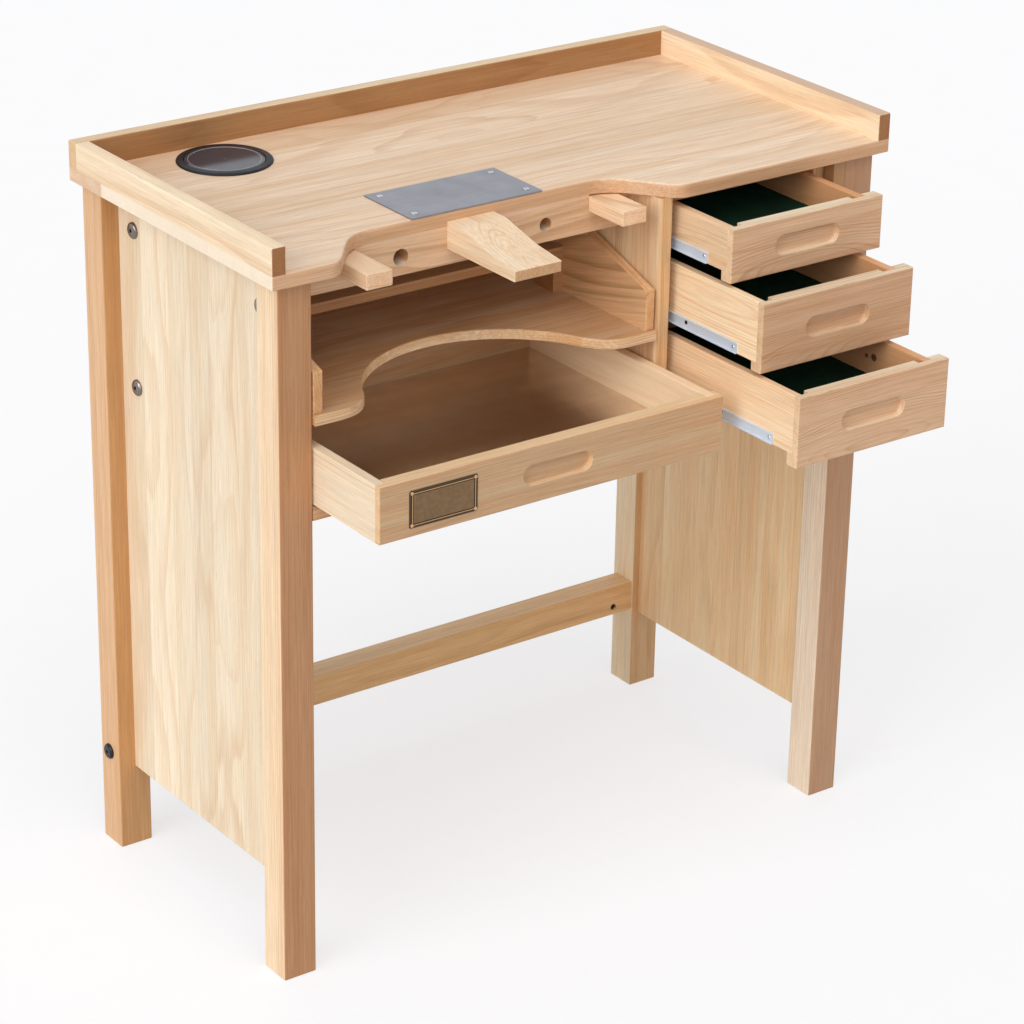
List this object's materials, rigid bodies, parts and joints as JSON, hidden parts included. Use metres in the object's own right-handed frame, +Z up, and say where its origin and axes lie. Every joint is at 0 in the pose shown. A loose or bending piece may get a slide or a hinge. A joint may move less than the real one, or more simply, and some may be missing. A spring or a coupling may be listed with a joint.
{
  "type": "jewelers bench",
  "caption": "Standing hardwood jeweller's workbench with a recessed top, bench pin, armrests, a cut-out tray, a lined catch drawer and a stack of small drawers on slides.",
  "frame": {"origin": "middle of the floor area under the bench's bounding box, with the drawers standing open as stored", "axes": "+X to the right of someone sitting at the bench, +Y to the rear, +Z up"},
  "size_m": [1, 0.752, 1.051],
  "materials": {
    "top_wood": "clear satin lacquer",
    "frame_wood": "clear satin lacquer",
    "panel_wood": "clear satin lacquer",
    "inner_wood": "bare, planed",
    "apron_wood": "clear satin lacquer",
    "tray_wood": "clear satin lacquer",
    "drawer_front_wood": "clear satin lacquer",
    "drawer_side_wood": "clear satin lacquer",
    "plywood": "bare",
    "felt": "flocked",
    "slide_steel": "zinc plated",
    "sheet_metal": "satin rolled sheet",
    "plate_steel": "satin",
    "bright_steel": "bright zinc",
    "black_steel": "black oxide",
    "ring_plastic": "fine matt",
    "lid_plastic": "smoked gloss",
    "plate_brass": "aged"
  },
  "bodies": {
    "carcass": {"apron": "apron_wood", "back_panel": "inner_wood", "barrel_nuts": "bright_steel", "cabinet_floor": "inner_wood", "cabinet_wall": "inner_wood", "divider": "panel_wood", "front_rail": "frame_wood", "grommet_ring": "ring_plastic", "leg_back_left": "frame_wood", "leg_back_right": "frame_wood", "leg_front_left": "frame_wood", "leg_front_right": "frame_wood", "panel_bolts": "bright_steel", "panel_cleats": "inner_wood", "plate_screws": "bright_steel", "rear_stretcher": "frame_wood", "rim_back": "top_wood", "rim_left": "top_wood", "rim_right": "top_wood", "runners": "inner_wood", "side_panel_left": "panel_wood", "side_panel_right": "panel_wood", "slide_cabinet_members": "slide_steel", "socket_rail": "inner_wood", "steel_plate": "plate_steel", "stretcher_bolts": "black_steel", "table_top": "top_wood", "top_rail": "frame_wood", "wall_spacers": "inner_wood"},
    "drawer_1": {"drawer_1_front": "drawer_front_wood", "drawer_1_walls": "drawer_side_wood", "drawer_1_bottom": "plywood", "drawer_1_liner": "felt", "drawer_1_slide_members": "slide_steel"},
    "drawer_2": {"drawer_2_front": "drawer_front_wood", "drawer_2_walls": "drawer_side_wood", "drawer_2_bottom": "plywood", "drawer_2_liner": "felt", "drawer_2_slide_members": "slide_steel"},
    "drawer_3": {"drawer_3_front": "drawer_front_wood", "drawer_3_walls": "drawer_side_wood", "drawer_3_bottom": "plywood", "drawer_3_liner": "felt", "drawer_3_slide_members": "slide_steel"},
    "slide_carriages_1": {"drawer_1_slide_carriages": "slide_steel"},
    "slide_carriages_2": {"drawer_2_slide_carriages": "slide_steel"},
    "slide_carriages_3": {"drawer_3_slide_carriages": "slide_steel"},
    "catch_drawer": {"catch_drawer_back": "drawer_side_wood", "catch_drawer_bottom": "plywood", "catch_drawer_front": "drawer_front_wood", "catch_drawer_sheet": "sheet_metal", "catch_drawer_sides": "drawer_side_wood", "name_plate": "plate_brass"},
    "tray": {"tray_floor": "tray_wood", "tray_walls": "tray_wood", "tray_bridge": "tray_wood"},
    "bench_pin": {"bench_pin": "apron_wood"},
    "armrest_left": {"armrest_left": "apron_wood"},
    "armrest_right": {"armrest_right": "apron_wood"},
    "grommet_lid": {"grommet_lid": "lid_plastic"}
  },
  "joints": [
    {"name": "drawer_1_slide", "type": "slide", "parent": "carcass", "child": "drawer_1", "axis": [0, -1, 0], "range_m": [-0.111, 0.151]},
    {"name": "slide_carriages_1_slide", "type": "slide", "parent": "carcass", "child": "slide_carriages_1", "axis": [0, -1, 0], "range_m": [-0.0555, 0.0755]},
    {"name": "drawer_2_slide", "type": "slide", "parent": "carcass", "child": "drawer_2", "axis": [0, -1, 0], "range_m": [-0.18, 0.082]},
    {"name": "slide_carriages_2_slide", "type": "slide", "parent": "carcass", "child": "slide_carriages_2", "axis": [0, -1, 0], "range_m": [-0.09, 0.041]},
    {"name": "drawer_3_slide", "type": "slide", "parent": "carcass", "child": "drawer_3", "axis": [0, -1, 0], "range_m": [-0.261, 0.001]},
    {"name": "slide_carriages_3_slide", "type": "slide", "parent": "carcass", "child": "slide_carriages_3", "axis": [0, -1, 0], "range_m": [-0.1305, 0.0005]},
    {"name": "catch_drawer_slide", "type": "slide", "parent": "carcass", "child": "catch_drawer", "axis": [0, -1, 0], "range_m": [-0.149, 0.13]},
    {"name": "tray_slide", "type": "slide", "parent": "carcass", "child": "tray", "axis": [0, -1, 0], "range_m": [0, 0.25]},
    {"name": "bench_pin_pull", "type": "slide", "parent": "carcass", "child": "bench_pin", "axis": [0, -1, 0], "range_m": [0, 0.06]},
    {"name": "armrest_left_slide", "type": "slide", "parent": "carcass", "child": "armrest_left", "axis": [0, -1, 0], "range_m": [-0.0885, 0.03]},
    {"name": "armrest_right_slide", "type": "slide", "parent": "carcass", "child": "armrest_right", "axis": [0, -1, 0], "range_m": [-0.074, 0.03]},
    {"name": "grommet_lid_lift", "type": "slide", "parent": "carcass", "child": "grommet_lid", "axis": [0, 0, 1], "range_m": [0, 0.05]}
  ],
  "couplings": [
    {"joint": "slide_carriages_1_slide", "follows": "drawer_1_slide", "ratio": 0.5},
    {"joint": "slide_carriages_2_slide", "follows": "drawer_2_slide", "ratio": 0.5},
    {"joint": "slide_carriages_3_slide", "follows": "drawer_3_slide", "ratio": 0.5}
  ]
}
